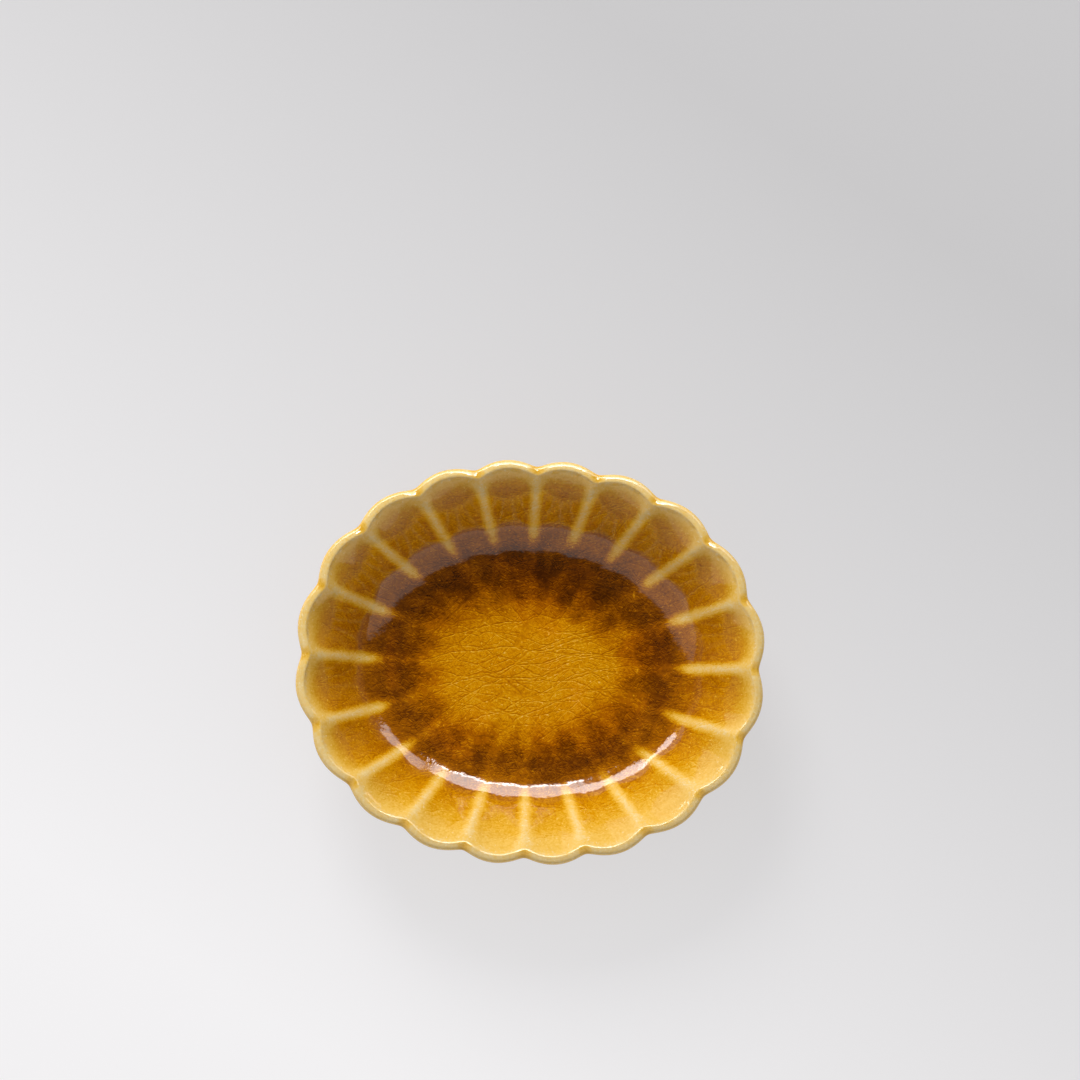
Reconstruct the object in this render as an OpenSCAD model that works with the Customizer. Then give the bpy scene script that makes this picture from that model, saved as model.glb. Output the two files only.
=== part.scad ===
// Oval soy sauce dish in the form of a chrysanthemum: a pressed clay body with fluted petals,
// a foot ring luted under it, and an amber glaze that runs thin on the ribs and deep in the well.
// The dish stands on its foot ring at z = 0, with its long axis along X.

/* [Plan] */
// Length of the oval that the petals touch
oval_length = 106; // [92:0.5:124]
// Width of the oval that the petals touch
oval_width = 91; // [80:0.5:108]
// Squareness of the oval, where 2 is a true ellipse
oval_power = 2.1; // [2:0.05:2.5]
// Number of petals, in fours so that ribs lie on both axes
petal_count = 20; // [12:4:28]
// Depth of the notch between two petals at the rim
notch_depth = 1.6; // [0.6:0.1:2.4]

/* [Wall] */
// Height of the clay rim above the table
rim_height = 23; // [20:0.1:27]
// Width of the lip seen from above
lip_width = 1.7; // [1.5:0.1:2.2]
// Radius of the lip's inner edge
lip_edge = 0.45; // [0.2:0.05:0.6]
// Radius of the lip's outer side
lip_round = 0.95; // [0.6:0.05:1.1]
// Dip of the lip at each notch
lip_dip = 0.4; // [0:0.1:0.8]
// Level distance from the rim to the edge of the flat underside
base_run = 18; // [15:0.5:20]

/* [Well] */
// Length of the well inside the crease at the foot of the wall
well_length = 65; // [60:0.2:74]
// Width of the well inside the crease
well_width = 49.6; // [45:0.2:58]
// Thickness of the clay under the crease
floor_thickness = 4; // [3:0.1:6]
// Rise of the middle of the well above the crease
well_crown = 0.7; // [0.2:0.1:1.2]

/* [Foot] */
// Height of the foot ring
foot_height = 4; // [2:0.1:6]
// Thickness of the foot ring at the table
foot_width = 2.8; // [2:0.1:4.5]
// Distance from the edge of the flat underside to the ground face of the foot ring
foot_setback = 3.2; // [2.6:0.1:5]
// Spread of each side of the foot ring from the table up to the base
foot_spread = 0.4; // [0.1:0.1:0.8]
// Bevel on the ground edges of the foot ring
foot_bevel = 0.5; // [0.2:0.1:0.8]

/* [Glaze] */
// Depth of glaze in the middle of the well
well_glaze = 0.5; // [0.3:0.05:0.8]
// Depth of glaze in the hollow of a petal
petal_glaze = 0.45; // [0.3:0.05:0.7]
// Depth of glaze on a rib
rib_glaze = 0.2; // [0.1:0.05:0.3]
// Depth of glaze on the lip
lip_glaze = 0.25; // [0.15:0.05:0.4]
// Depth of glaze on the outside
outer_glaze = 0.3; // [0.2:0.05:0.5]
// Bare clay left between the glaze and the foot ring
bare_margin = 1; // [0.5:0.1:1.5]

/* [Hidden] */
$fn = 96;

// Colours of the fired clay and of the glaze
clay_colour = [0.86, 0.78, 0.64];
foot_colour = [0.80, 0.70, 0.55];
amber_colour = [0.78, 0.51, 0.06];
base_colour = [0.84, 0.63, 0.20];

// Steps round one petal, even so that its crown has a point of its own
petal_steps = 6;
step_count = petal_count * petal_steps;

// Cuts run past the faces they cut by this much
overrun = 1;

// The wall bends out of the well over the first share of its run, then goes up straight until it
// flares, and by the lip it has lost a share of its slope
bend_share = 0.45;
flare_share = 0.65;
flare_loss_share = 0.3;
// Rings across the well, up the inner wall and down the outer wall
well_shares = [0.45, 0.8, 1];
wall_shares = [0.14, 0.29, 0.45, 0.65, 0.84];
outer_shares = [0.65, 0.45, 0.24, 0];
// Turns of the lip on its inner edge and on its outer side, with a nearly level face between them
edge_turns = [138, 109, 80];
round_turns = [80, 40, 0, -42];
// How much of the dip in the lip the glaze fills
dip_fill_share = 0.6;
// Powers that fade the petals down the outside and narrow the dips
outer_fade = 0.7;
dip_sharpness = 3;

// Heights of the flat underside, the crease, the middle of the well and the start of the lip
base_z = foot_height;
crease_z = base_z + floor_thickness;
well_z = crease_z + well_crown;
edge_z = rim_height - lip_edge * (1 - sin(edge_turns[0]));
mean_radius = (oval_length + oval_width) / 4;

// The glaze settles level in the well, so it is deepest at the crease
pool_glaze = well_glaze + well_crown;

// Inset of the crease from the petals' oval, along the length and along the width
well_inset = [oval_length - well_length, oval_width - well_width] / 2;

// Half length and half width of the foot ring at the table, outside and inside
foot_outer = [oval_length, oval_width] / 2 - [1, 1] * (base_run + foot_setback);
foot_inner = foot_outer - [1, 1] * foot_width;
foot_slope = foot_spread / foot_height;
glaze_line = foot_setback - foot_spread - bare_margin;

function mix(a, b, share) = a + (b - a) * share;

// Share that starts and ends gently, so that the petals grow out of a smooth crease
function ease(share) = share * share * (3 - 2 * share);

// Plan radius at an angle of the oval that lies an inset inside the petals' oval, given on both axes
function oval(angle, inset) =
    let (along = abs(cos(angle)) / (oval_length / 2 - inset[0]))
    let (across = abs(sin(angle)) / (oval_width / 2 - inset[1]))
    pow(pow(along, oval_power) + pow(across, oval_power), -1 / oval_power);

// How far a step round the rim lies towards a notch: 0 at a petal's crown, 1 at a rib
function notch(step) =
    let (across = 2 * abs((step % petal_steps) / petal_steps - 1 / 2))
    across * across;

// Height up the bend and the straight above it at a share of the run, and what the flare takes off it
function straight_climb(share) =
    share < bend_share ? share * share / bend_share / 2 : share - bend_share / 2;
function flare_loss(share) =
    flare_loss_share * pow(max(0, share - flare_share), 2) / (1 - flare_share) / 2;

// Share of the climb at a share of the run
function climb(share) =
    (straight_climb(share) - flare_loss(share)) / (straight_climb(1) - flare_loss(1));

// Glaze thins from the pool at the crease to the given depth, then to the depth at the lip
function wall_glaze(share, depth, top_depth) =
    share < bend_share
        ? mix(depth, pool_glaze, (1 + cos(180 * share / bend_share)) / 2)
        : mix(depth, top_depth, (share - bend_share) / (1 - bend_share));

// Step along an arc of the lip between two turns, as its parts outwards and up
function arc(radius, from, to) = radius * [cos(to) - cos(from), sin(to) - sin(from)];

// Nearly level face of the lip, from the end of its inner edge to the start of its outer side
face_turn = round_turns[0];
edge_step = arc(lip_edge, edge_turns[0], face_turn);
face_length = (lip_width - edge_step[0] - arc(lip_round, face_turn, 0)[0]) / sin(face_turn);
face_step = edge_step + face_length * [sin(face_turn), -cos(face_turn)];

// Places on the lip, outwards and up from the top of the inner wall
function edge_place(turn) = arc(lip_edge, edge_turns[0], turn);
function round_place(turn) = face_step + arc(lip_round, face_turn, turn);
lip_end = round_place(round_turns[len(round_turns) - 1]);

// A station of the profile holds its share of the oval, the oval's inset, its height, its share of
// the petals' depth, its glaze in a petal and on a rib, and its share of the lip's dip
function well_station(share) = [
    share,
    well_inset,
    mix(well_z, crease_z, share * share),
    0,
    mix(well_glaze, pool_glaze, share * share),
    mix(well_glaze, pool_glaze, share * share),
    0
];
function wall_station(share) = [
    1,
    mix(well_inset, [1, 1] * lip_width, share),
    mix(crease_z, edge_z, climb(share)),
    ease(share),
    wall_glaze(share, petal_glaze, lip_glaze),
    wall_glaze(share, rib_glaze, rib_glaze),
    0
];
function lip_station(place, turn) =
    let (dip_share = max(0, sin(turn)))
    [
        1,
        [1, 1] * (lip_width - place[0]),
        edge_z + place[1],
        1,
        lip_glaze,
        lip_glaze + dip_share * lip_dip * dip_fill_share,
        dip_share
    ];
function outer_station(share) = [
    1,
    [1, 1] * mix(base_run, lip_width - lip_end[0], share),
    mix(base_z, edge_z + lip_end[1], climb(share)),
    pow(share, outer_fade),
    outer_glaze,
    outer_glaze,
    0
];

// The profile runs from the middle of the well over the lip to the glaze line under the dish
profile = concat(
    [for (share = well_shares) well_station(share)],
    [for (share = wall_shares) wall_station(share)],
    [for (turn = edge_turns) lip_station(edge_place(turn), turn)],
    [for (turn = round_turns) lip_station(round_place(turn), turn)],
    [for (share = outer_shares) outer_station(share)],
    [[1, [1, 1] * (base_run + glaze_line), base_z, 0, outer_glaze, outer_glaze, 0]]
);
ring_count = len(profile);

// Clay surface at a station and a step round the dish
function clay_point(station, step) =
    let (angle = 360 * step / step_count)
    let (radius = station[0] * oval(angle, station[1]) - station[3] * notch_depth * notch(step))
    let (dip = station[6] * lip_dip * pow(notch(step), dip_sharpness))
    [radius * cos(angle), radius * sin(angle), station[2] - dip];

// Direction out of the clay at a station, as its level and upward parts
function level(station) = station[0] * (mean_radius - (station[1][0] + station[1][1]) / 2);
function outward(i) =
    let (before = profile[max(i - 1, 0)], after = profile[min(i + 1, ring_count - 1)])
    let (run = level(after) - level(before), rise = after[2] - before[2])
    [-rise, run] / norm([rise, run]);

// Glaze surface over the clay at a station and a step round the dish
function glaze_point(i, step) =
    let (angle = 360 * step / step_count, way = outward(i))
    let (depth = mix(profile[i][4], profile[i][5], notch(step)))
    clay_point(profile[i], step) + depth * [way[0] * cos(angle), way[0] * sin(angle), way[1]];

clay_points = [for (i = [0 : ring_count - 1], j = [0 : step_count - 1]) clay_point(profile[i], j)];
glaze_points = [for (i = [0 : ring_count - 1], j = [0 : step_count - 1]) glaze_point(i, j)];

// Faces between two rings of points, given by the index of each ring's first point
function band(first, second) = [
    for (j = [0 : step_count - 1])
        let (next = (j + 1) % step_count)
        each [
            [first + j, first + next, second + j],
            [first + next, second + next, second + j]
        ]
];

// Faces from a single point to a ring round it
function fan(middle, first) = [
    for (j = [0 : step_count - 1]) [middle, first + (j + 1) % step_count, first + j]
];

// Faces of a whole profile from its middle point outwards
function skin(middle, first) = concat(
    fan(middle, first),
    [for (i = [0 : ring_count - 2]) each band(first + i * step_count, first + (i + 1) * step_count)]
);

function turned(faces) = [for (face = faces) [face[2], face[1], face[0]]];

// Pressed body: the domed well, the fluted wall, the rounded lip and the flat underside
module clay_body() {
    last_ring = (ring_count - 1) * step_count;
    well_middle = ring_count * step_count;
    base_middle = well_middle + 1;
    color(clay_colour)
        polyhedron(
            points = concat(clay_points, [[0, 0, well_z], [0, 0, base_z]]),
            faces = concat(skin(well_middle, 0), turned(fan(base_middle, last_ring)))
        );
}

// Continuous coat from the well over the lip and down the outside to the glaze line
module amber_glaze() {
    clay_first = ring_count * step_count;
    top_middle = 2 * clay_first;
    clay_middle = top_middle + 1;
    last_ring = (ring_count - 1) * step_count;
    color(amber_colour)
        polyhedron(
            points = concat(
                glaze_points,
                clay_points,
                [[0, 0, well_z + well_glaze], [0, 0, well_z]]
            ),
            faces = concat(
                skin(top_middle, 0),
                band(last_ring, clay_first + last_ring),
                turned(skin(clay_middle, clay_first))
            )
        );
}

// Solid oval cone through the foot, of the given half sizes at the table, widening by a slope
module oval_cone(half_size, slope) {
    bottom_share = 1 - slope * overrun / half_size[0];
    top_share = 1 + slope * (foot_height + overrun) / half_size[0];
    translate([0, 0, -overrun])
        scale([half_size[0], half_size[1], 1])
            cylinder(h = foot_height + 2 * overrun, r1 = bottom_share, r2 = top_share);
}

// Level slab of clay from the table to the underside of the body
module foot_slab() {
    translate([-oval_length / 2, -oval_width / 2, 0])
        cube([oval_length, oval_width, foot_height]);
}

// Luted strip of bare clay, wider at the base than at the table, with its ground edges bevelled
module foot_ring() {
    bevel = [1, 1] * foot_bevel;
    color(foot_colour)
        difference() {
            intersection() {
                foot_slab();
                oval_cone(foot_outer, foot_slope);
                oval_cone(foot_outer - bevel, 1);
            }
            oval_cone(foot_inner, -foot_slope);
            oval_cone(foot_inner + bevel, -1);
        }
}

// Glaze on the underside within the foot ring
module base_glaze() {
    half_size = foot_inner - [1, 1] * (foot_spread + bare_margin);
    color(base_colour)
        translate([0, 0, base_z - outer_glaze])
            scale([half_size[0], half_size[1], 1])
                cylinder(h = outer_glaze, r = 1);
}

clay_body();
foot_ring();
amber_glaze();
base_glaze();
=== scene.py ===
import math

import bpy
import numpy as np
from mathutils import Matrix, Vector


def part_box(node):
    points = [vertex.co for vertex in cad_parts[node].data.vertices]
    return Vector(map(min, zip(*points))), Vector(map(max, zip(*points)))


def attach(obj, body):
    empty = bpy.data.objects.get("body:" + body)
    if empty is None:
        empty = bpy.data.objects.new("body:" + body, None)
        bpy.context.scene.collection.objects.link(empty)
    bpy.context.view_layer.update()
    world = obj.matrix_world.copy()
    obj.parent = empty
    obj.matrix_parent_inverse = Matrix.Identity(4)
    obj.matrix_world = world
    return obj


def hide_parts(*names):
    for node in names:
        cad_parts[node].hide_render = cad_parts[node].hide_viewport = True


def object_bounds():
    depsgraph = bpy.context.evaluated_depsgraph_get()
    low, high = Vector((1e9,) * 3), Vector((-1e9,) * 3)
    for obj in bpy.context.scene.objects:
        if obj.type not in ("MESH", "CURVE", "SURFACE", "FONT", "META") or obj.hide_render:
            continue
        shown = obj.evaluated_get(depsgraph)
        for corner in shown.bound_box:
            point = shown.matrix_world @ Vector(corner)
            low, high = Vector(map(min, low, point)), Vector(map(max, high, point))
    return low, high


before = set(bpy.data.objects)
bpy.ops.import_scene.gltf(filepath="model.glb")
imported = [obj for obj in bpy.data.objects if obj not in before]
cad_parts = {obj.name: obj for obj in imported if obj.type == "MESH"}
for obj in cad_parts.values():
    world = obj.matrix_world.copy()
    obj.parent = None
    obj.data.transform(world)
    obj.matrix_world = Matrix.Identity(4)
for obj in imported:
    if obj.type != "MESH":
        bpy.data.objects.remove(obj)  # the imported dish, in metres, standing on its foot
cadLow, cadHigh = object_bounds()
clayLow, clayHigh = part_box("clay_body")
footLow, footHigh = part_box("foot_ring")
baseLow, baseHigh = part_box("base_glaze")
mm = 0.001
print("frame loaded, dish box", [round(size / mm, 2) for size in cadHigh - cadLow], "mm")


# selecting and starting meshes, as by hand
def pick(piece, kind, wanted):
    bpy.ops.object.mode_set(mode="OBJECT")
    mesh = piece.data
    for part in (mesh.vertices, mesh.edges, mesh.polygons):
        part.foreach_set("select", np.zeros(len(part), bool))
    parts = {"VERT": mesh.vertices, "EDGE": mesh.edges, "FACE": mesh.polygons}[kind]
    for part in parts:
        part.select = bool(wanted(part))
    bpy.context.tool_settings.mesh_select_mode = (kind == "VERT", kind == "EDGE", kind == "FACE")
    bpy.ops.object.mode_set(mode="EDIT")


def startOval(name, steps, halfX=1.0, halfY=1.0, height=0.0):
    bpy.ops.object.select_all(action="DESELECT")
    bpy.ops.mesh.primitive_circle_add(vertices=steps, radius=1, fill_type="NGON")
    piece = bpy.context.active_object
    piece.name = name
    piece.data.name = name
    bpy.ops.object.mode_set(mode="EDIT")
    bpy.ops.mesh.select_mode(type="FACE")
    bpy.ops.mesh.select_all(action="SELECT")
    bpy.ops.transform.resize(value=(halfX, halfY, 1))
    bpy.ops.transform.translate(value=(0, 0, height))
    return piece


def endPiece(piece, node, smoothAngle=40):
    bpy.ops.object.mode_set(mode="EDIT")
    bpy.ops.mesh.select_all(action="SELECT")
    bpy.ops.mesh.normals_make_consistent(inside=False)
    bpy.ops.object.mode_set(mode="OBJECT")
    bpy.ops.object.shade_smooth_by_angle(angle=math.radians(smoothAngle))
    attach(piece, "root")
    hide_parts(node)
    print(piece.name, "made,", len(piece.data.polygons), "faces")


# form of the pressed dish, in millimetres
dishForm = {
    "petals": 20,
    "ovalLength": 106.0,  # oval that the petals touch
    "ovalWidth": 91.0,
    "ovalPower": 2.1,
    "notchDepth": 1.6,
    "ribRounding": 0.14,  # share of half a petal
    "lipWidth": 1.7,  # seen from above
    "lipEdge": 0.45,  # radius of its inner edge
    "lipRound": 0.95,  # radius of its outer side
    "lipTurns": (138, 80, -42),  # degrees: start of the edge, nearly level face, end of the outer side
    "lipDip": 0.4,  # dip of the lip at each notch
    "dipSharpness": 3,
    "wellLength": 65.0,  # inside the crease at the foot of the wall
    "wellWidth": 49.6,
    "baseRun": 18.0,  # rim to the flat underside
    "floorThickness": 4.0,
    "wellCrown": 0.7,
    "bendShare": 0.45,
    "flareShare": 0.65,  # where the wall starts to lean outwards
    "flareEase": 0.3,  # share of its slope that it loses by the lip
    "outerFade": 0.7,
    "glazeLine": 1.8,  # flat underside that the coat covers
}
# depth of the glaze, in millimetres
glazeDepth = {
    "well": 0.5,
    "petal": 0.45,
    "rib": 0.2,
    "lip": 0.25,
    "outer": 0.3,
    "dipFill": 0.6,  # share of the lip's dip that glaze fills
    "creaseLobe": 0.06,  # fuller under a rib and thinner under a petal, near the crease
    "lobeEnd": 0.3,  # share of the wall
}
# how finely the skin is sampled
skinSteps = {
    "petal": 24,
    "ribCrowding": 0.7,  # columns of the mesh gather at the ribs
    "well": 12,
    "wall": 26,
    "edge": 6,
    "face": 3,
    "round": 9,
    "outer": 16,
    "backStride": 3,
    "underMiddle": 0.1,  # share of the underside that its middle ring spans
}

stepCount = dishForm["petals"] * skinSteps["petal"]
baseTop = clayLow.z / mm
creaseTop = baseTop + dishForm["floorThickness"]
poolDepth = glazeDepth["well"] + dishForm["wellCrown"]
meanRadius = (dishForm["ovalLength"] + dishForm["ovalWidth"]) / 4
petalPlace = np.arange(stepCount) / skinSteps["petal"]
petalPlace -= skinSteps["ribCrowding"] * np.sin(2 * math.pi * petalPlace) / (2 * math.pi)
angles = petalPlace * 2 * math.pi / dishForm["petals"]
ribNear = np.abs(2 * (petalPlace % 1) - 1)  # 0 on a crown, 1 on a rib

edgeTurn, faceTurn, endTurn = np.radians(dishForm["lipTurns"])
edgeTop = clayHigh.z / mm - dishForm["lipEdge"] * (math.sin(faceTurn) - math.sin(edgeTurn))
ovalSize = np.array([dishForm["ovalLength"], dishForm["ovalWidth"]])
wellInset = (ovalSize - np.array([dishForm["wellLength"], dishForm["wellWidth"]])) / 2
evenly = np.ones(2)  # the same inset along both axes
placeEnd = 5.0  # place of the glaze line, counted along the profile


def blend(a, b, share):
    return a + (b - a) * share


def ovalReach(angle, inset):
    halfX, halfY = ovalSize / 2 - inset
    along = np.abs(np.cos(angle)) / halfX
    across = np.abs(np.sin(angle)) / halfY
    power = dishForm["ovalPower"]
    return (along**power + across**power) ** (-1 / power)


def notchShape():
    rounding = dishForm["ribRounding"]
    away = (np.hypot(1 - ribNear, rounding) - rounding) / (math.hypot(1, rounding) - rounding)
    return (1 - away) ** 2


notches = notchShape()


# share of the climb at a share of the run: a bend at the bottom, then straight, then flared
def climb(share):
    bend, flare, ease = dishForm["bendShare"], dishForm["flareShare"], dishForm["flareEase"]
    height = share * share / bend / 2 if share < bend else share - bend / 2
    if share > flare:
        height -= ease * (share - flare) ** 2 / (1 - flare) / 2
    return height / (1 - bend / 2 - ease * (1 - flare) / 2)


def eased(share):
    return share * share * (3 - 2 * share)


def wallGlaze(share, depth, topDepth):
    bend = dishForm["bendShare"]
    if share < bend:
        return blend(depth, poolDepth, 0.5 + 0.5 * math.cos(math.pi * share / bend))
    return blend(depth, topDepth, (share - bend) / (1 - bend))


def evenShares(count):
    return [step / count for step in range(1, count + 1)]


# places on the lip, outwards and up from the top of the inner wall, with the turn of each
def arcStep(radius, start, end):
    return radius * np.array([math.cos(end) - math.cos(start), math.sin(end) - math.sin(start)])


def lipPlaces():
    edgeStep = arcStep(dishForm["lipEdge"], edgeTurn, faceTurn)
    roundStep = arcStep(dishForm["lipRound"], faceTurn, 0)
    length = (dishForm["lipWidth"] - edgeStep[0] - roundStep[0]) / math.sin(faceTurn)
    faceStep = edgeStep + length * np.array([math.sin(faceTurn), -math.cos(faceTurn)])
    places = []
    for share in evenShares(skinSteps["edge"]):
        turn = blend(edgeTurn, faceTurn, share)
        places.append((arcStep(dishForm["lipEdge"], edgeTurn, turn), turn))
    for share in evenShares(skinSteps["face"]):
        places.append((blend(edgeStep, faceStep, share), faceTurn))
    for share in evenShares(skinSteps["round"]):
        turn = blend(faceTurn, endTurn, share)
        places.append((faceStep + arcStep(dishForm["lipRound"], faceTurn, turn), turn))
    return places


lip = lipPlaces()


# A station holds its share of the oval, inset, height, flute, glaze in a petal and on a rib, dip and place.
# Place counts 0 in the middle of the well, 1 at the crease, 2 to 3 over the lip, 4 to 5 under the dish.
def wellStation(share):
    depth = blend(glazeDepth["well"], poolDepth, share * share)
    height = creaseTop + dishForm["wellCrown"] * (1 - share * share)
    return (share, wellInset, height, 0, depth, depth, 0, share)


def wallStation(share):
    inset = blend(wellInset, evenly * dishForm["lipWidth"], share)
    height = blend(creaseTop, edgeTop, climb(share))
    petal = wallGlaze(share, glazeDepth["petal"], glazeDepth["lip"])
    rib = wallGlaze(share, glazeDepth["rib"], glazeDepth["rib"])
    lobe = glazeDepth["creaseLobe"] * math.sin(math.pi * min(1, share / glazeDepth["lobeEnd"]))
    return (1, inset, height, eased(share), petal - lobe, rib + lobe, 0, 1 + share)


def lipStation(index):
    (across, up), turn = lip[index]
    dip = max(0, math.sin(turn))
    fill = glazeDepth["lip"] + dip * dishForm["lipDip"] * glazeDepth["dipFill"]
    inset = evenly * (dishForm["lipWidth"] - across)
    return (1, inset, edgeTop + up, 1, glazeDepth["lip"], fill, dip, 2 + (index + 1) / len(lip))


def outerStation(share):
    (across, up), _ = lip[-1]
    depth = glazeDepth["outer"]
    inset = evenly * blend(dishForm["baseRun"], dishForm["lipWidth"] - across, share)
    height = blend(baseTop, edgeTop + up, climb(share))
    return (1, inset, height, share ** dishForm["outerFade"], depth, depth, 0, 4 - share)


def underStation():
    inset = evenly * (dishForm["baseRun"] + dishForm["glazeLine"])
    return (1, inset, baseTop, 0, glazeDepth["outer"], glazeDepth["outer"], 0, placeEnd)


profile = [wellStation(share) for share in evenShares(skinSteps["well"])]
profile += [wallStation(share) for share in evenShares(skinSteps["wall"])]
profile += [lipStation(index) for index in range(len(lip))]
profile += [outerStation(1 - share) for share in evenShares(skinSteps["outer"])]
profile.append(underStation())
lastRow = len(profile) - 1


def clayRing(station):
    reach = station[0] * ovalReach(angles, station[1]) - station[3] * dishForm["notchDepth"] * notches
    height = station[2] - station[6] * dishForm["lipDip"] * notches ** dishForm["dipSharpness"]
    return np.stack([reach * np.cos(angles), reach * np.sin(angles), height], axis=1) * mm


def outward(row):
    before, after = profile[max(row - 1, 0)], profile[min(row + 1, lastRow)]
    run = after[0] * (meanRadius - after[1].mean()) - before[0] * (meanRadius - before[1].mean())
    rise = after[2] - before[2]
    return -rise / math.hypot(run, rise), run / math.hypot(run, rise)


def glazeRing(row):
    level, up = outward(row)
    depth = blend(profile[row][4], profile[row][5], notches) * mm
    way = np.stack([level * np.cos(angles), level * np.sin(angles), np.full(stepCount, up)], axis=1)
    return clayRing(profile[row]) + depth[:, None] * way


# a closed skin: a filled circle is drawn out ring by ring, then each ring is laid in its place
def rolledSkin(name, rings):
    piece = startOval(name, stepCount)
    for _ in rings[1:]:
        bpy.ops.mesh.extrude_region_move(TRANSFORM_OT_translate={"value": (0, 0, 1)})
    pick(piece, "FACE", lambda face: len(face.vertices) > 4)
    bpy.ops.mesh.poke()
    bpy.ops.object.mode_set(mode="OBJECT")
    places = np.empty(len(piece.data.vertices) * 3)
    piece.data.vertices.foreach_get("co", places)
    across, along, ring = places.reshape(-1, 3).T
    ring = np.rint(ring).astype(int)
    step = np.rint(np.arctan2(along, across) / (2 * math.pi) * stepCount).astype(int) % stepCount
    isPole = np.hypot(across, along) < 0.5
    rings = np.array(rings)
    laid = np.where(isPole[:, None], rings.mean(axis=1)[ring], rings[ring, step])
    piece.data.vertices.foreach_set("co", laid.ravel())
    piece.data.update()
    return piece, ring, step


def setAttribute(piece, name, values):
    layer = piece.data.attributes.new(name, "FLOAT", "POINT")
    layer.data.foreach_set("value", np.asarray(values, np.float32))


# clay body, from the middle of its underside over the lip to the middle of the well
clayRings = [clayRing(station) for station in profile]
underMiddle = clayRings[lastRow] * np.array([skinSteps["underMiddle"], skinSteps["underMiddle"], 1])
clayBody, _, _ = rolledSkin("clayBody", [underMiddle] + clayRings[::-1])
endPiece(clayBody, "clay_body")

# amber coat, from the clay under its middle out to the glaze line, and back over its own skin
backRows = list(range(0, lastRow, skinSteps["backStride"])) + [lastRow]
topRows = list(range(lastRow, -1, -1))
coatRings = [clayRings[row] for row in backRows] + [glazeRing(row) for row in topRows]
amberCoat, coatRing, coatStep = rolledSkin("amberCoat", coatRings)
coatRows = np.array(backRows + topRows)[coatRing]
coatReach = np.linalg.norm(np.array(coatRings)[:, :, :2], axis=2) / mm
halfPetal = math.pi * coatReach / dishForm["petals"]
ribGap = ((1 - ribNear)[None, :] * halfPetal)[coatRing, coatStep]
setAttribute(amberCoat, "wallPlace", np.array([station[7] for station in profile])[coatRows])
setAttribute(amberCoat, "ribGap", ribGap)  # millimetres to the nearest rib
setAttribute(amberCoat, "crownShare", (1 - ribNear)[coatStep])  # 0 on a rib, 1 in the middle of a petal
creaseShare = np.array([1 - station[0] for station in profile])[coatRows]
creaseGap = ovalReach(angles, wellInset)[coatStep] * creaseShare
setAttribute(amberCoat, "creaseGap", creaseGap)  # millimetres inwards from the crease
endPiece(amberCoat, "amber_glaze")

# foot ring, an oval band of clay, drawn up and rounded where it stands
footForm = {"width": 2.8, "spread": 0.4, "rounding": 0.6, "roundingSteps": 5, "steps": 192}


def madeFoot():
    spread, width = footForm["spread"] * mm, footForm["width"] * mm
    halfX, halfY = footHigh.x - spread, footHigh.y - spread
    height = footHigh.z
    foot = startOval("footRing", footForm["steps"], halfX, halfY)
    bpy.ops.mesh.inset(thickness=width)
    bpy.ops.mesh.delete(type="FACE")
    bpy.ops.mesh.select_all(action="SELECT")
    bpy.ops.mesh.extrude_region_move(TRANSFORM_OT_translate={"value": (0, 0, height)})

    def isOuter(vertex):
        return math.hypot(vertex.co.x / halfX, vertex.co.y / halfY) > 1 - width / halfX / 2

    mesh = foot.data
    for outer, out in ((True, spread), (False, -spread)):
        pick(foot, "VERT", lambda vertex: vertex.co.z > height / 2 and isOuter(vertex) == outer)
        inset = 0 if outer else width
        shareX, shareY = 1 + out / (halfX - inset), 1 + out / (halfY - inset)
        bpy.ops.transform.resize(value=(shareX, shareY, 1))

    def isGroundLoop(edge):
        ends = [mesh.vertices[index] for index in edge.vertices]
        return max(end.co.z for end in ends) < height / 2 and isOuter(ends[0]) == isOuter(ends[1])

    pick(foot, "EDGE", isGroundLoop)
    bpy.ops.mesh.bevel(offset=footForm["rounding"] * mm, segments=footForm["roundingSteps"])
    return foot


footRing = madeFoot()
endPiece(footRing, "foot_ring")

# glaze under the dish, a thin pool whose edge is rounded
baseForm = {"rounding": 0.25, "roundingSteps": 5, "steps": 192, "insets": 3}


def madeBase():
    base = startOval("baseGlaze", baseForm["steps"], baseHigh.x, baseHigh.y, baseHigh.z)
    depth = baseHigh.z - baseLow.z
    bpy.ops.mesh.extrude_region_move(TRANSFORM_OT_translate={"value": (0, 0, -depth)})
    middle = (baseHigh.z + baseLow.z) / 2
    vertices = base.data.vertices
    pick(base, "EDGE", lambda edge: max(vertices[index].co.z for index in edge.vertices) < middle)
    bpy.ops.mesh.bevel(offset=baseForm["rounding"] * mm, segments=baseForm["roundingSteps"])
    pick(base, "FACE", lambda face: len(face.vertices) > 4 and face.center.z < middle)
    for _ in range(baseForm["insets"]):
        bpy.ops.mesh.inset(thickness=baseHigh.y / (baseForm["insets"] + 1))
    pick(base, "FACE", lambda face: len(face.vertices) > 4)
    bpy.ops.mesh.poke()
    return base


baseGlaze = madeBase()
endPiece(baseGlaze, "base_glaze")


# small helpers for shader trees
def toned(red, green, blue):
    shares = [value / 255 for value in (red, green, blue)]
    return tuple(s / 12.92 if s <= 0.04045 else ((s + 0.055) / 1.055) ** 2.4 for s in shares)


def feed(tree, socket, value):
    if isinstance(value, bpy.types.NodeSocket):
        tree.links.new(value, socket)
    else:
        socket.default_value = value


def mathOf(tree, operation, *values, clamp=False):
    node = tree.nodes.new("ShaderNodeMath")
    node.operation = operation
    node.use_clamp = clamp
    for socket, value in zip(node.inputs, values):
        feed(tree, socket, value)
    return node.outputs[0]


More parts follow.
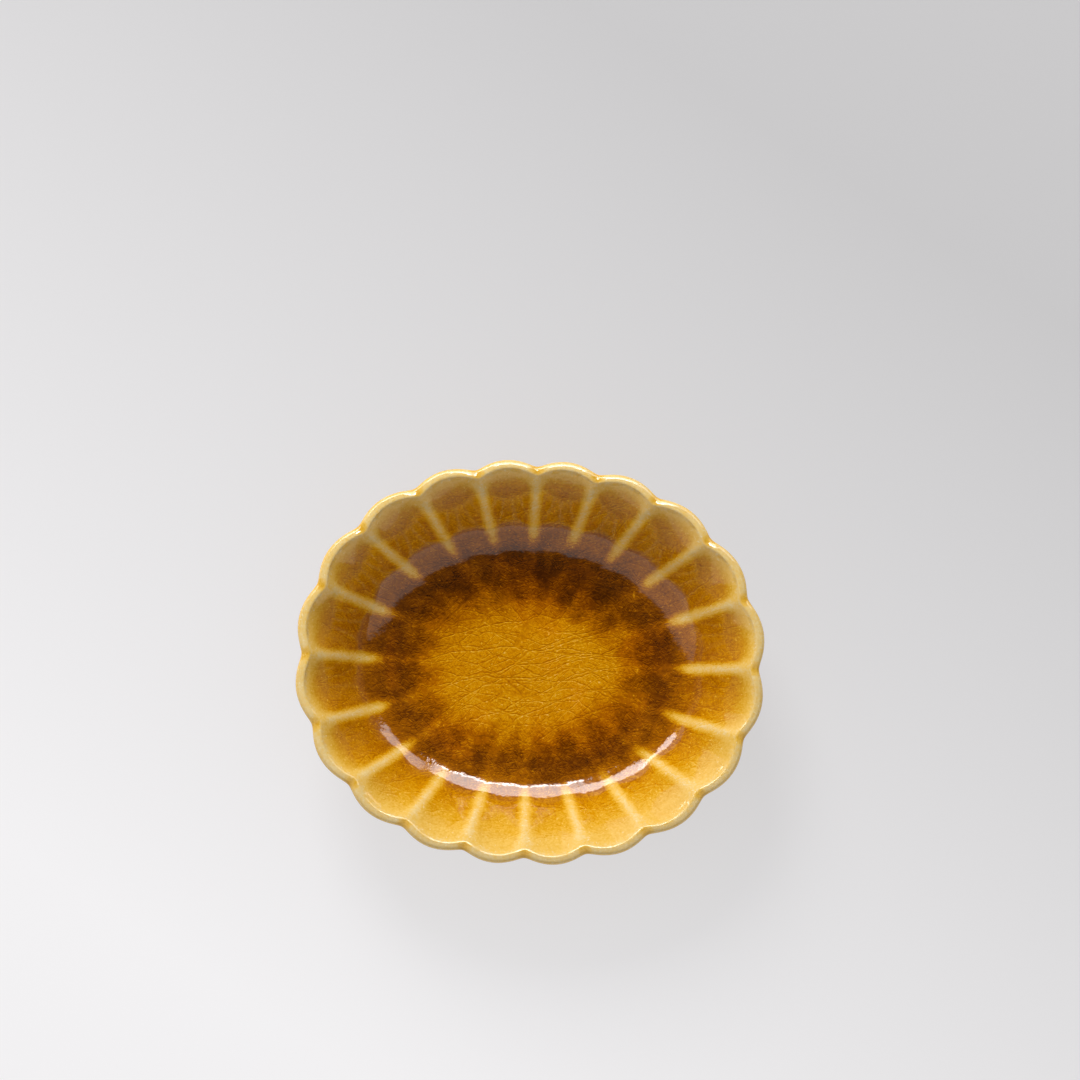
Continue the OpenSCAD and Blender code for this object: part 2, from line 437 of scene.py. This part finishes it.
def spanOf(tree, value, low, high, toLow=0.0, toHigh=1.0, ease="SMOOTHSTEP"):
    node = tree.nodes.new("ShaderNodeMapRange")
    node.interpolation_type = ease
    for socket, given in zip(node.inputs, (value, low, high, toLow, toHigh)):
        feed(tree, socket, given)
    return node.outputs[0]


def mixOf(tree, share, a, b):
    node = tree.nodes.new("ShaderNodeMix")
    feed(tree, node.inputs[0], share)
    feed(tree, node.inputs[2], a)
    feed(tree, node.inputs[3], b)
    return node.outputs[0]


def tintOf(tree, share, a, b, blendType="MIX"):
    node = tree.nodes.new("ShaderNodeMix")
    node.data_type = "RGBA"
    node.blend_type = blendType
    feed(tree, node.inputs[0], share)
    feed(tree, node.inputs[6], a)
    feed(tree, node.inputs[7], b)
    return node.outputs[2]


def rampOf(tree, value, stops):
    node = tree.nodes.new("ShaderNodeValToRGB")
    elements = node.color_ramp.elements
    while len(elements) < len(stops):
        elements.new(0.5)
    for element, (position, tone) in zip(elements, stops):
        element.position = position
        element.color = (*tone, 1) if isinstance(tone, tuple) else (tone, tone, tone, 1)
    feed(tree, node.inputs[0], value)
    return node.outputs[0]


def noiseOf(tree, place, scale, detail=2.0, roughness=0.5, output="Fac"):
    node = tree.nodes.new("ShaderNodeTexNoise")
    feed(tree, node.inputs["Vector"], place)
    node.inputs["Scale"].default_value = scale
    node.inputs["Detail"].default_value = detail
    node.inputs["Roughness"].default_value = roughness
    return node.outputs[output]


def mapped(tree, place, scale=(1, 1, 1), location=(0, 0, 0), turn=0.0):
    node = tree.nodes.new("ShaderNodeMapping")
    feed(tree, node.inputs["Vector"], place)
    node.inputs["Scale"].default_value = scale
    node.inputs["Location"].default_value = location
    node.inputs["Rotation"].default_value = (0, 0, turn)
    return node.outputs[0]


def objectPlace(tree):
    return tree.nodes.new("ShaderNodeTexCoord").outputs["Object"]


def attributeOf(tree, name):
    node = tree.nodes.new("ShaderNodeAttribute")
    node.attribute_name = name
    return node.outputs["Fac"]


def newMaterial(name):
    material = bpy.data.materials.new(name)
    material.use_nodes = True
    return material, material.node_tree, material.node_tree.nodes["Principled BSDF"]


def bumpOf(tree, height, strength, distance, normal=None):
    node = tree.nodes.new("ShaderNodeBump")
    node.inputs["Strength"].default_value = strength
    node.inputs["Distance"].default_value = distance
    feed(tree, node.inputs["Height"], height)
    if normal is not None:
        feed(tree, node.inputs["Normal"], normal)
    return node.outputs[0]


def dress(piece, material):
    piece.data.materials.clear()
    piece.data.materials.append(material)


# crackle of the glaze: long cracks that mostly run across the dish, and a fine net between them
crackleForm = {
    "Cracks": [
        {"scale": 170.0, "stretch": (0.2, 1.0, 0.4), "turn": -0.3, "line": 0.03, "share": 1.0},
        {"scale": 330.0, "stretch": (0.28, 1.0, 0.5), "turn": 0.12, "line": 0.05, "share": 0.85},
        {"scale": 380.0, "stretch": (0.35, 1.0, 0.6), "turn": -0.6, "line": 0.055, "share": 0.7},
    ],
    "Net": [
        {"scale": 520.0, "stretch": (0.8, 1.0, 0.9), "turn": 0.4, "line": 0.07, "share": 1.0},
        {"scale": 1000.0, "stretch": (0.85, 1.0, 0.9), "turn": 0.0, "line": 0.12, "share": 0.7},
    ],
    "warps": [(45.0, 0.01), (500.0, 0.0008)],  # scale, reach in metres
}


def crackleGroup():
    group = bpy.data.node_groups.new("glazeCrackle", "ShaderNodeTree")
    group.interface.new_socket("Place", in_out="INPUT", socket_type="NodeSocketVector")
    for name in ("Cracks", "Net"):
        group.interface.new_socket(name, in_out="OUTPUT", socket_type="NodeSocketFloat")
    entry = group.nodes.new("NodeGroupInput").outputs["Place"]
    outlet = group.nodes.new("NodeGroupOutput")
    place = entry
    for scale, reach in crackleForm["warps"]:
        centred = group.nodes.new("ShaderNodeVectorMath")
        centred.operation = "SUBTRACT"
        centred.inputs[1].default_value = (0.5, 0.5, 0.5)
        feed(group, centred.inputs[0], noiseOf(group, entry, scale, 1.0, output="Color"))
        moved = group.nodes.new("ShaderNodeVectorMath")
        moved.operation = "MULTIPLY_ADD"
        moved.inputs[1].default_value = (reach,) * 3
        feed(group, moved.inputs[0], centred.outputs[0])
        feed(group, moved.inputs[2], place)
        place = moved.outputs[0]
    for name in ("Cracks", "Net"):
        cracks = 0.0
        for net in crackleForm[name]:
            cells = group.nodes.new("ShaderNodeTexVoronoi")
            cells.feature = "DISTANCE_TO_EDGE"
            turned = mapped(group, place, turn=net["turn"])
            feed(group, cells.inputs["Vector"], mapped(group, turned, net["stretch"]))
            cells.inputs["Scale"].default_value = net["scale"]
            lines = spanOf(group, cells.outputs["Distance"], 0.0, net["line"], net["share"], 0.0)
            cracks = mathOf(group, "MAXIMUM", lines, cracks)
        feed(group, outlet.inputs[name], cracks)
    return group


# grain of the fired clay: specks and a fine tooth
grainForm = {
    "cloudScale": 140.0,
    "cloudSpan": (0.35, 0.65),
    "speckScale": 1100.0,
    "speckSpan": (0.66, 0.74),
    "speckShare": 0.6,
    "toothScale": 2200.0,
    "toothSpan": (0.2, 0.8),
    "roughness": (0.7, 0.92),
}


def grainGroup():
    group = bpy.data.node_groups.new("clayGrain", "ShaderNodeTree")
    group.interface.new_socket("Place", in_out="INPUT", socket_type="NodeSocketVector")
    for name in ("Cloud", "Specks", "Tooth"):
        group.interface.new_socket(name, in_out="OUTPUT", socket_type="NodeSocketFloat")
    entry = group.nodes.new("NodeGroupInput").outputs["Place"]
    outlet = group.nodes.new("NodeGroupOutput")
    feed(group, outlet.inputs["Cloud"], noiseOf(group, entry, grainForm["cloudScale"], 3.0))
    specks = spanOf(group, noiseOf(group, entry, grainForm["speckScale"], 2.0), *grainForm["speckSpan"])
    feed(group, outlet.inputs["Specks"], specks)
    feed(group, outlet.inputs["Tooth"], noiseOf(group, entry, grainForm["toothScale"], 4.0, 0.65))
    return group


crackle = crackleGroup()
clayGrain = grainGroup()


def placeGroup(tree, group, place):
    node = tree.nodes.new("ShaderNodeGroup")
    node.node_tree = group
    feed(tree, node.inputs["Place"], place)
    return node.outputs


glassIor = 1.8  # of both glazes

# amber glaze, whose tone follows how deep the glass lies over the clay, with painted shade, painted sheen
# and painted glints added to that depth
amberForm = {
    # depth of tone by place on the skin
    "depthByPlace": [
        (1.0, 0.81), (1.09, 0.785), (1.15, 0.75), (1.22, 0.7), (1.35, 0.63), (1.5, 0.58), (1.66, 0.548),
        (1.78, 0.51), (1.86, 0.455), (1.92, 0.36), (1.965, 0.25), (2.0, 0.15), (2.55, 0.13), (2.76, 0.25),
        (2.86, 0.36), (3.0, 0.43), (3.6, 0.44), (4.0, 0.52),
    ],
    # depth of tone by millimetres inwards from the crease
    "depthByGap": [
        (0.0, 0.81), (1.5, 0.83), (3.0, 0.84), (4.5, 0.82), (7.0, 0.75), (8.3, 0.7), (10.6, 0.605),
        (12.2, 0.557), (15.2, 0.513), (18.2, 0.503),
    ],
    "gapSpan": 20.0,
    "creaseSpan": (0.97, 1.03),  # place where the well's tone gives way to the wall's
    "wellSpan": (0.95, 1.1),  # place where the streaks and warm patches end
    "poolSpan": (0.45, 0.9),  # depth of tone at which the glaze counts as dark pool
    "lobeReach": 2.0,  # millimetres that the pool runs further in at a petal than at a rib
    "featherScales": (150.0, 520.0),
    "featherReaches": (5.0, 2.5),  # millimetres
    # how much a rib thins the coat, and how widely
    "ribByPlace": [
        (1.08, 0.0), (1.16, 0.14), (1.24, 0.4), (1.34, 0.68), (1.46, 0.9), (1.6, 1.0),
        (1.9, 1.0), (2.0, 0.0),
    ],
    "ribReachByPlace": [
        (1.0, 0.6), (1.2, 0.78), (1.4, 0.86), (1.6, 0.78), (1.8, 0.78), (1.88, 0.95),
        (1.94, 1.3), (2.0, 1.8),
    ],
    "ribEarly": [(1.0, 0.13), (1.3, 0.13), (1.6, 0.0)],  # ribs at the ends of the dish start lower
    "ribEarlySpan": (0.012, 0.034),  # metres from the middle
    "ribDepth": 0.13,
    "ribReach": 2.7,  # millimetres from a rib at the crease
    # ribs go on as paler streaks in the pool
    "streakByGap": [(0.0, 0.09), (4.0, 0.075), (8.0, 0.05), (11.0, 0.0)],
    "streakReach": 2.2,
    # directions in which the tone deepens, by how much per metre, and share by place
    "drifts": [
        # the first is partly painted shade: it darkens the upper part of the well, where the rim's shadow
        # falls
        {"way": (0.35, 0.94), "rise": 3.0, "byPlace": [(0.25, 0.0), (0.5, 1.0), (1.0, 1.0), (1.2, 0.0)]},
        {"way": (-0.95, -0.3), "rise": 1.8, "byPlace": [(0.0, 1.0), (0.6, 1.0), (0.8, 0.0)]},
    ],
    "poolWay": (0.35, 0.94),  # the pool is wider this way, partly painted shade in the upper part of the well
    "poolShift": 0.08,  # millimetres that the pool's edge moves in per millimetre
    # where the coat thins and thickens: direction, metres along it, and change of tone by place
    "thinnings": [
        {
            "way": (0.0, -1.0),
            "span": (-0.012, 0.036),
            "byPlace": [(1.05, 0.03), (1.18, 0.05), (1.36, 0.02), (1.55, 0.0)],
        },
        {
            "way": (1.0, 0.0),
            "span": (0.014, 0.026),
            "byPlace": [(0.35, 0.03), (0.6, 0.125), (1.0, 0.1), (1.3, 0.0)],
        },
        # the third pales the lower petals, which face the day light: thinner glaze there and painted sheen
        {
            "way": (0.2, -0.98),
            "span": (0.008, 0.036),
            "byPlace": [(1.27, 0.0), (1.5, 0.125), (1.86, 0.19), (1.98, 0.0)],
        },
    ],
    "thickenings": [
        {
            "way": (0.7, 0.71),
            "span": (0.012, 0.018),
            "byPlace": [(0.3, 0.0), (0.55, 0.08), (0.75, 0.02), (1.1, 0.0)],
        },
        {
            "way": (0.7, -0.71),
            "span": (0.012, 0.018),
            "byPlace": [(0.4, 0.0), (0.65, 0.05), (0.95, 0.045), (1.1, 0.0)],
        },
    ],
    "lipByPlace": [(2.05, 0.0), (2.3, 1.0), (2.75, 1.0), (2.95, 0.0)],
    "dropSpan": (0.2, 2.1),  # millimetres from a notch
    "dropDepth": 0.34,
    "blotchScale": 210.0,
    "blotchShares": (0.12, 0.55),  # outside and inside the dark pool
    "warmScale": 75.0,  # patches where iron warms the glaze
    "warmSpan": (0.45, 0.68),
    "warmTone": (1.0, 0.91, 1.0),
    "grainScale": 1700.0,
    "grainShare": 0.34,
    "speckScale": 1500.0,
    "speckSpan": (0.66, 0.76),
    "glintSpeckDepth": -0.14,  # painted glints: paler specks
    "tones": [
        (0.0, toned(232, 208, 156)),
        (0.12, toned(225, 194, 126)),
        (0.22, toned(226, 182, 84)),
        (0.36, toned(214, 162, 45)),
        (0.42, toned(205, 149, 18)),
        (0.48, toned(198, 133, 2)),
        (0.62, toned(160, 92, 0)),
        (0.8, toned(108, 56, 0)),
        (1.0, toned(62, 29, 3)),
    ],
    # share of the crackle by place
    "crackByPlace": [
        (0.4, 1.0), (1.05, 1.0), (1.35, 0.65), (1.8, 0.45), (1.95, 0.0), (3.0, 0.0), (3.2, 0.4),
    ],
    "longShares": (1.0, 0.6),  # long cracks outside and inside the dark pool
    "netShares": (0.4, 0.9),
    "crackDepth": 0.19,  # stained cracks look deeper
    "glintDepth": -0.16,  # and a painted glint on their far sides
    "glintShift": 0.0002,  # metres from a crack to its painted glint
    "roughness": (0.07, 0.1),
    "gloss": (0.12, 0.5),  # in the well and on the wall
    "glossSpan": (0.8, 0.97),
    "crackRelief": 0.000002,
    "waveScale": 180.0,
    "waveRelief": 0.00005,
    "rippleScale": 900.0,  # ripples where the pool meets the wall
    "rippleRelief": 0.000045,
    "rippleByPlace": [(0.98, 0.05), (1.05, 1.0), (1.25, 1.0), (1.45, 0.4), (1.9, 0.3)],
}


def placeRamp(tree, wall, stops):
    shares = [(stop / placeEnd, tone) for stop, tone in stops]
    return rampOf(tree, mathOf(tree, "DIVIDE", wall, placeEnd), shares)


def alongWay(tree, axes, way):
    across = mathOf(tree, "MULTIPLY", axes.outputs["X"], way[0])
    return mathOf(tree, "MULTIPLY_ADD", axes.outputs["Y"], way[1], across)


def amberMaterial():
    material, tree, shader = newMaterial("amberGlaze")
    place = objectPlace(tree)
    wall = attributeOf(tree, "wallPlace")
    gap = attributeOf(tree, "ribGap")
    # the pool's inner edge is feathered, has a lobe at each petal, and reaches further in towards +Y, which
    # is partly painted shade of the rim
    axes = tree.nodes.new("ShaderNodeSeparateXYZ")
    feed(tree, axes.inputs[0], place)
    poolWay = alongWay(tree, axes, amberForm["poolWay"])
    inwards = attributeOf(tree, "creaseGap")
    inwards = mathOf(tree, "MULTIPLY_ADD", poolWay, -amberForm["poolShift"] / mm, inwards)
    lobe = mathOf(tree, "SUBTRACT", 0.5, attributeOf(tree, "crownShare"))
    inwards = mathOf(tree, "MULTIPLY_ADD", lobe, amberForm["lobeReach"], inwards)
    for scale, reach in zip(amberForm["featherScales"], amberForm["featherReaches"]):
        feather = mathOf(tree, "SUBTRACT", noiseOf(tree, place, scale), 0.5)
        inwards = mathOf(tree, "MULTIPLY_ADD", feather, reach, inwards)
    span = amberForm["gapSpan"]
    gapShare = mathOf(tree, "DIVIDE", inwards, span)
    wellDepth = rampOf(tree, gapShare, [(stop / span, tone) for stop, tone in amberForm["depthByGap"]])
    wallDepth = placeRamp(tree, wall, amberForm["depthByPlace"])
    depth = mixOf(tree, spanOf(tree, wall, *amberForm["creaseSpan"]), wellDepth, wallDepth)
    pool = spanOf(tree, depth, *amberForm["poolSpan"])
    # ribs thin the glaze, more widely towards the lip
    reach = placeRamp(tree, wall, amberForm["ribReachByPlace"])
    reach = mathOf(tree, "MULTIPLY", reach, amberForm["ribReach"])
    nearRib = spanOf(tree, mathOf(tree, "DIVIDE", gap, reach), 0.0, 1.0, 1.0, 0.0)
    toEnds = spanOf(tree, mathOf(tree, "ABSOLUTE", axes.outputs["X"]), *amberForm["ribEarlySpan"])
    ribWall = mathOf(tree, "MULTIPLY_ADD", toEnds, placeRamp(tree, wall, amberForm["ribEarly"]), wall)
    ribShare = mathOf(tree, "MULTIPLY", nearRib, placeRamp(tree, ribWall, amberForm["ribByPlace"]))
    depth = mixOf(tree, ribShare, depth, amberForm["ribDepth"])
    # drops of deeper glaze in the dips of the lip
    onLip = placeRamp(tree, wall, amberForm["lipByPlace"])
    drop = spanOf(tree, gap, *amberForm["dropSpan"], 1.0, 0.0)
    depth = mixOf(tree, mathOf(tree, "MULTIPLY", onLip, drop), depth, amberForm["dropDepth"])
    # the first drift is partly painted shade over the upper part of the well
    for form in amberForm["drifts"]:
        slant = mathOf(tree, "MULTIPLY", alongWay(tree, axes, form["way"]), form["rise"])
        depth = mathOf(tree, "MULTIPLY_ADD", slant, placeRamp(tree, wall, form["byPlace"]), depth)
    # the coat is uneven between the ribs, with painted sheen on the lower petals, and the ribs go on as
    # streaks in the pool
    betweenRibs = mathOf(tree, "SUBTRACT", 1.0, ribShare)
    for name, operation in (("thinnings", "SUBTRACT"), ("thickenings", "ADD")):
        for form in amberForm[name]:
            change = spanOf(tree, alongWay(tree, axes, form["way"]), *form["span"])
            change = mathOf(tree, "MULTIPLY", change, placeRamp(tree, wall, form["byPlace"]))
            depth = mathOf(tree, operation, depth, mathOf(tree, "MULTIPLY", change, betweenRibs))
    streak = spanOf(tree, gap, 0.0, amberForm["streakReach"], 1.0, 0.0)
    inWell = spanOf(tree, wall, *amberForm["wellSpan"], 1.0, 0.0)
    streakMost = rampOf(tree, gapShare, [(stop / span, tone) for stop, tone in amberForm["streakByGap"]])
    streak = mathOf(tree, "MULTIPLY", mathOf(tree, "MULTIPLY", streak, inWell), streakMost)
    depth = mathOf(tree, "SUBTRACT", depth, streak)
    # blotches, mostly in the pool, and a fine grain
    blotch = mathOf(tree, "SUBTRACT", noiseOf(tree, place, amberForm["blotchScale"], 3.0, 0.55), 0.5)
    depth = mathOf(tree, "MULTIPLY_ADD", blotch, mixOf(tree, pool, *amberForm["blotchShares"]), depth)
    grain = mathOf(tree, "SUBTRACT", noiseOf(tree, place, amberForm["grainScale"], 4.0, 0.6), 0.5)
    depth = mathOf(tree, "MULTIPLY_ADD", grain, amberForm["grainShare"], depth)
    # painted glints: paler specks over the glaze
    specks = spanOf(tree, noiseOf(tree, place, amberForm["speckScale"], 1.0), *amberForm["speckSpan"])
    depth = mathOf(tree, "MULTIPLY_ADD", specks, amberForm["glintSpeckDepth"], depth)
    # crackle, each crack with a dark stained side and a painted glint on its far side
    crackMost = placeRamp(tree, wall, amberForm["crackByPlace"])
    glintPlace = mapped(tree, place, location=(0, amberForm["glintShift"], 0))
    for spot, change in ((glintPlace, amberForm["glintDepth"]), (place, amberForm["crackDepth"])):
        lines = placeGroup(tree, crackle, spot)
        cracks = mathOf(tree, "MULTIPLY", lines["Cracks"], mixOf(tree, pool, *amberForm["longShares"]))
        net = mathOf(tree, "MULTIPLY", lines["Net"], mixOf(tree, pool, *amberForm["netShares"]))
        cracks = mathOf(tree, "MAXIMUM", cracks, net)
        shown = mathOf(tree, "MULTIPLY", cracks, crackMost)
        depth = mathOf(tree, "MULTIPLY_ADD", shown, change, depth)
    colour = rampOf(tree, depth, amberForm["tones"])
    warm = spanOf(tree, noiseOf(tree, place, amberForm["warmScale"], 3.0), *amberForm["warmSpan"])
    warm = mathOf(tree, "MULTIPLY", warm, inWell)
    colour = tintOf(tree, warm, colour, (*amberForm["warmTone"], 1), "MULTIPLY")
    feed(tree, shader.inputs["Base Color"], colour)
    feed(tree, shader.inputs["Roughness"], mixOf(tree, cracks, *amberForm["roughness"]))
    gloss = spanOf(tree, wall, *amberForm["glossSpan"], *amberForm["gloss"])
    feed(tree, shader.inputs["Specular IOR Level"], gloss)
    normal = bumpOf(tree, noiseOf(tree, place, amberForm["waveScale"], 2.0), 1.0, amberForm["waveRelief"])
    ripple = mathOf(tree, "SUBTRACT", noiseOf(tree, place, amberForm["rippleScale"], 2.0), 0.5)
    ripple = mathOf(tree, "MULTIPLY", ripple, placeRamp(tree, wall, amberForm["rippleByPlace"]))
    normal = bumpOf(tree, ripple, 1.0, amberForm["rippleRelief"], normal)
    relief = mathOf(tree, "SUBTRACT", 1.0, cracks)
    feed(tree, shader.inputs["Normal"], bumpOf(tree, relief, 1.0, amberForm["crackRelief"], normal))
    shader.inputs["IOR"].default_value = glassIor
    return material


dress(amberCoat, amberMaterial())

# thin glaze under the dish
underForm = {
    "tones": [(0.3, toned(226, 188, 104)), (0.7, toned(196, 140, 40))],
    "cloudScale": 120.0,
    "crackTone": (*toned(140, 92, 30), 1),
    "crackShare": 0.35,
    "roughness": (0.1, 0.22),
    "relief": 0.00004,
}


def underMaterial():
    material, tree, shader = newMaterial("underGlaze")
    place = objectPlace(tree)
    colour = rampOf(tree, noiseOf(tree, place, underForm["cloudScale"], 4.0, 0.6), underForm["tones"])
    cracks = placeGroup(tree, crackle, place)["Cracks"]
    crackShare = mathOf(tree, "MULTIPLY", cracks, underForm["crackShare"])
    feed(tree, shader.inputs["Base Color"], tintOf(tree, crackShare, colour, underForm["crackTone"]))
    feed(tree, shader.inputs["Roughness"], mixOf(tree, cracks, *underForm["roughness"]))
    relief = mathOf(tree, "SUBTRACT", 1.0, cracks)
    feed(tree, shader.inputs["Normal"], bumpOf(tree, relief, 1.0, underForm["relief"]))
    shader.inputs["IOR"].default_value = glassIor
    return material


dress(baseGlaze, underMaterial())

# bare fired clay, on the body and, wiped and ground, on the foot
clayForm = {
    "body": {
        "tones": (toned(226, 204, 170), toned(206, 180, 142)),
        "speck": toned(120, 84, 50),
        "tooth": 0.00008,
    },
    "foot": {
        "tones": (toned(216, 190, 152), toned(184, 152, 112)),
        "speck": toned(96, 64, 40),
        "tooth": 0.00012,
    },
}


def clayMaterial(name, form):
    material, tree, shader = newMaterial(name)
    grain = placeGroup(tree, clayGrain, objectPlace(tree))
    colour = rampOf(tree, grain["Cloud"], list(zip(grainForm["cloudSpan"], form["tones"])))
    specks = mathOf(tree, "MULTIPLY", grain["Specks"], grainForm["speckShare"])
    feed(tree, shader.inputs["Base Color"], tintOf(tree, specks, colour, (*form["speck"], 1)))
    roughness = spanOf(tree, grain["Tooth"], *grainForm["toothSpan"], *grainForm["roughness"], "LINEAR")
    feed(tree, shader.inputs["Roughness"], roughness)
    feed(tree, shader.inputs["Normal"], bumpOf(tree, grain["Tooth"], 1.0, form["tooth"]))
    return material


dress(clayBody, clayMaterial("bareClay", clayForm["body"]))
dress(footRing, clayMaterial("groundClay", clayForm["foot"]))
print("materials made")

# pale floor, lit from within so that shadows on it stay soft, brighter to the left and to the front
floorForm = {
    "size": 8.0,
    "tone": (*toned(112, 111, 112), 1),
    "glow": 0.585,
    "glowTilt": (-0.7, -1.15),  # per metre along X and Y
    "glowLimits": (0.4, 0.72),
    "glowTone": (1, 0.99, 1, 1),
    "underSpan": (0.3, 1.0),  # squared share of the dish's reach, from the foot to the rim
    "underGlow": 0.12,  # share of the glow that is left under the dish, a painted contact shadow
    "roughness": 0.75,
    "gloss": 0.2,
}


def madeFloor():
    bpy.ops.object.select_all(action="DESELECT")
    bpy.ops.mesh.primitive_plane_add(size=floorForm["size"])
    floor = bpy.context.active_object
    floor.name = "paleFloor"
    material, tree, shader = newMaterial("palePaper")
    axes = tree.nodes.new("ShaderNodeSeparateXYZ")
    feed(tree, axes.inputs[0], objectPlace(tree))
    glow = floorForm["glow"]
    for axis, tilt in zip("XY", floorForm["glowTilt"]):
        glow = mathOf(tree, "MULTIPLY_ADD", axes.outputs[axis], tilt, glow)
    low, high = floorForm["glowLimits"]
    glow = mathOf(tree, "MINIMUM", mathOf(tree, "MAXIMUM", glow, low), high)
    # painted contact shadow: the glow fades under the dish towards the foot
    under = 0.0
    for axis, half in zip("XY", (cadHigh.x, cadHigh.y)):
        share = mathOf(tree, "DIVIDE", axes.outputs[axis], half)
        under = mathOf(tree, "MULTIPLY_ADD", share, share, under)
    shade = spanOf(tree, under, *floorForm["underSpan"], floorForm["underGlow"])
    feed(tree, shader.inputs["Emission Strength"], mathOf(tree, "MULTIPLY", glow, shade))
    shader.inputs["Emission Color"].default_value = floorForm["glowTone"]
    shader.inputs["Base Color"].default_value = floorForm["tone"]
    shader.inputs["Roughness"].default_value = floorForm["roughness"]
    shader.inputs["Specular IOR Level"].default_value = floorForm["gloss"]
    dress(floor, material)


madeFloor()

# soft lights, by where they stand seen from the dish: degrees round from +X, degrees from straight up
# the day light shades the dish, and the glows and windows are what its glaze mirrors
lightForm = {
    "dayLight": {"round": 110, "tilt": 58, "away": 1.5, "size": (0.6, 0.6), "radiance": 21.0},
    "frontGlow": {"round": 267, "tilt": 39, "away": 1.5, "size": (6.2, 2.1), "mirrored": 0.44},
    "lowGlow": {"round": 267, "tilt": 78, "away": 1.5, "size": (4.4, 0.25), "mirrored": 0.1},
    "sideGlow": {"round": 128, "tilt": 78, "away": 1.5, "size": (1.3, 0.5), "mirrored": 0.48},
    "windowEdge": {
        "round": 84, "tilt": 33, "away": 2.75, "size": (0.95, 0.36), "mirrored": 14.0, "upright": True,
    },
    "window": {
        "round": 82, "tilt": 44.4, "away": 2.14, "size": (1.05, 1.74), "mirrored": 4.7, "upright": True,
    },
    "nextWindow": {
        "round": 112.5, "tilt": 57.6, "away": 1.775, "size": (0.62, 0.78), "mirrored": 5.9, "upright": True,
    },
    "lastWindow": {
        "round": 133, "tilt": 63.8, "away": 1.67, "size": (0.56, 0.39), "mirrored": 5.9, "upright": True,
    },
    "farWindow": {
        "round": 48, "tilt": 60, "away": 1.73, "size": (0.62, 0.8), "mirrored": 2.6, "upright": True,
    },
}
skyForm = {
    "shade": 0.5,
    "mirrored": [(0.0, 0.16), (0.25, 0.1), (0.5, 0.01)],  # by the sine of the height
}


def addLight(name, form):
    turn, tilt = math.radians(form["round"]), math.radians(form["tilt"])
    way = Vector((math.cos(turn) * math.sin(tilt), math.sin(turn) * math.sin(tilt), math.cos(tilt)))
    rim = Vector((0, 0, clayHigh.z))
    bpy.ops.object.light_add(type="AREA", location=rim + way * form["away"])
    lamp = bpy.context.active_object
    lamp.name = name
    if form.get("upright"):
        way.z = 0
    lamp.rotation_euler = (-way).to_track_quat("-Z", "Y").to_euler()
    lamp.data.shape = "RECTANGLE"
    lamp.data.size, lamp.data.size_y = form["size"]
    radiance = form.get("radiance") or form["mirrored"]
    lamp.data.energy = radiance * math.pi * form["size"][0] * form["size"][1]
    lamp.visible_camera = False
    lamp.visible_diffuse = "radiance" in form
    lamp.visible_glossy = "mirrored" in form


for lightName, form in lightForm.items():
    addLight(lightName, form)


def makeSky():
    world = bpy.data.worlds.new("studio")
    world.use_nodes = True
    tree = world.node_tree
    isMirrored = tree.nodes.new("ShaderNodeLightPath").outputs["Is Glossy Ray"]
    axes = tree.nodes.new("ShaderNodeSeparateXYZ")
    feed(tree, axes.inputs[0], tree.nodes.new("ShaderNodeTexCoord").outputs["Generated"])
    mirrored = rampOf(tree, axes.outputs["Z"], skyForm["mirrored"])
    sky = tree.nodes["Background"]
    feed(tree, sky.inputs["Strength"], mixOf(tree, isMirrored, skyForm["shade"], mirrored))
    sky.inputs["Color"].default_value = (1, 1, 1, 1)
    bpy.context.scene.world = world


makeSky()

# camera, where the photographed view was taken from
cameraForm = {
    "azimuth": 1.9,
    "elevation": 85.5,
    "sideLean": -2.1,  # degrees that the view leans to the right
    "away": 0.70,
    "frameWidth": 0.244,  # metres across at the rim
    "aim": (2.05, 27.4),  # millimetres right of the dish and up from it, in the picture
    "sensor": 36.0,
    "nearest": 0.01,
}


def addCamera():
    turn, rise = math.radians(cameraForm["azimuth"]), math.radians(cameraForm["elevation"])
    right = Vector((math.cos(turn), math.sin(turn), 0))
    forward = Vector((-math.sin(turn), math.cos(turn), 0))
    aside, ahead = cameraForm["aim"]
    aim = Vector((0, 0, clayHigh.z)) + (right * aside + forward * ahead) * mm
    back = right * math.sin(math.radians(cameraForm["sideLean"])) - forward * math.cos(rise)
    back.z = math.sqrt(1 - back.length_squared)
    up = (forward - back * forward.dot(back)).normalized()
    bpy.ops.object.camera_add(location=aim + back * cameraForm["away"])
    camera = bpy.context.active_object
    camera.rotation_euler = Matrix((up.cross(back), up, back)).transposed().to_euler()
    camera.data.sensor_width = cameraForm["sensor"]
    camera.data.lens = cameraForm["sensor"] * cameraForm["away"] / cameraForm["frameWidth"]
    camera.data.clip_start = cameraForm["nearest"]
    bpy.context.scene.camera = camera


addCamera()
bpy.context.scene.view_settings.view_transform = "Standard"
print("floor, lights and camera made")
